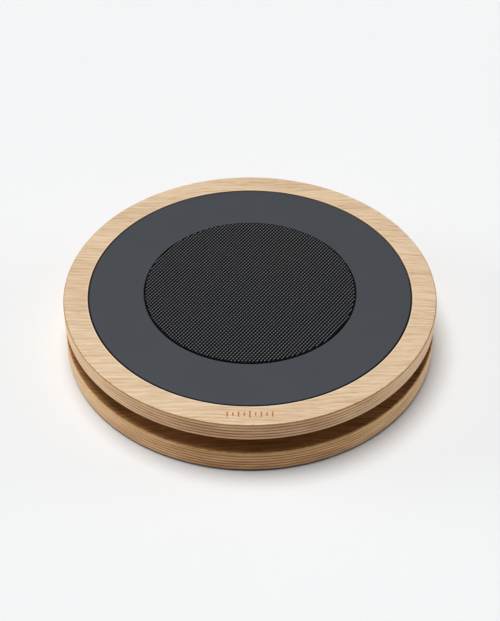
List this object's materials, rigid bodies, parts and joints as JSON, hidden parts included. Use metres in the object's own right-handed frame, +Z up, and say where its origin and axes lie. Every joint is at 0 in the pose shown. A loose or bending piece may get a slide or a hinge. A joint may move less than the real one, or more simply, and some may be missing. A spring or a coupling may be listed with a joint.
{
  "type": "balance board",
  "caption": "Round plywood balance board: a padded standing disc tilting on a central cardan hub above a matching round base.",
  "frame": {"origin": "on the floor, below the centre of the board", "axes": "+Z up, square to the plates; -Y towards the user's side with the inlaid scale; +X to the right seen from that side, along the wood grain"},
  "size_m": [0.3999, 0.4, 0.0684],
  "materials": {
    "oak_plywood": "clear matt lacquer over oak veneer, rims showing the plies",
    "mat_anthracite": "smooth matt closed-cell foam",
    "grip_black": "matt, moulded with fine studs in a diagonal grid",
    "scale_copper": "satin copper-coloured foil",
    "foot_rubber": "matt",
    "cast_alloy": "die-cast, blasted",
    "cross_steel": "turned and lightly oiled",
    "bush_steel": "drawn tube",
    "bush_rubber": "matt",
    "thrust_polymer": "natural acetal",
    "spring_steel": "phosphated",
    "zinc_steel": "zinc plated",
    "buffer_rubber": "matt"
  },
  "bodies": {
    "base": {"base_plate": "oak_plywood", "anti_slip_ring": "foot_rubber", "lower_yoke": "cast_alloy", "lower_bush_shells": "bush_steel", "lower_bush_rubbers": "bush_rubber", "base_bolts": "zinc_steel", "base_cup_washers": "zinc_steel", "tilt_buffers": "buffer_rubber", "buffer_washers": "zinc_steel", "buffer_screws": "zinc_steel"},
    "cross": {"cardan_cross": "cross_steel", "bush_inner_sleeves": "bush_steel", "thrust_washers": "thrust_polymer", "end_washers": "zinc_steel", "circlips": "spring_steel"},
    "platform": {"platform_plate": "oak_plywood", "foot_mat": "mat_anthracite", "grip_pad": "grip_black", "front_scale_inlay": "scale_copper", "upper_yoke": "cast_alloy", "upper_bush_shells": "bush_steel", "upper_bush_rubbers": "bush_rubber", "platform_bolts": "zinc_steel", "platform_cup_washers": "zinc_steel"}
  },
  "joints": [
    {"name": "tilt_front_back", "type": "hinge", "parent": "base", "child": "cross", "pos_m": [0, 0, 0.036], "axis": [1, 0, 0], "range_deg": [-3.8, 3.8], "stiffness_Nm_per_rad": 30},
    {"name": "tilt_left_right", "type": "hinge", "parent": "cross", "child": "platform", "pos_m": [0, 0, 0.036], "axis": [0, 1, 0], "range_deg": [-3.8, 3.8], "stiffness_Nm_per_rad": 30}
  ]
}
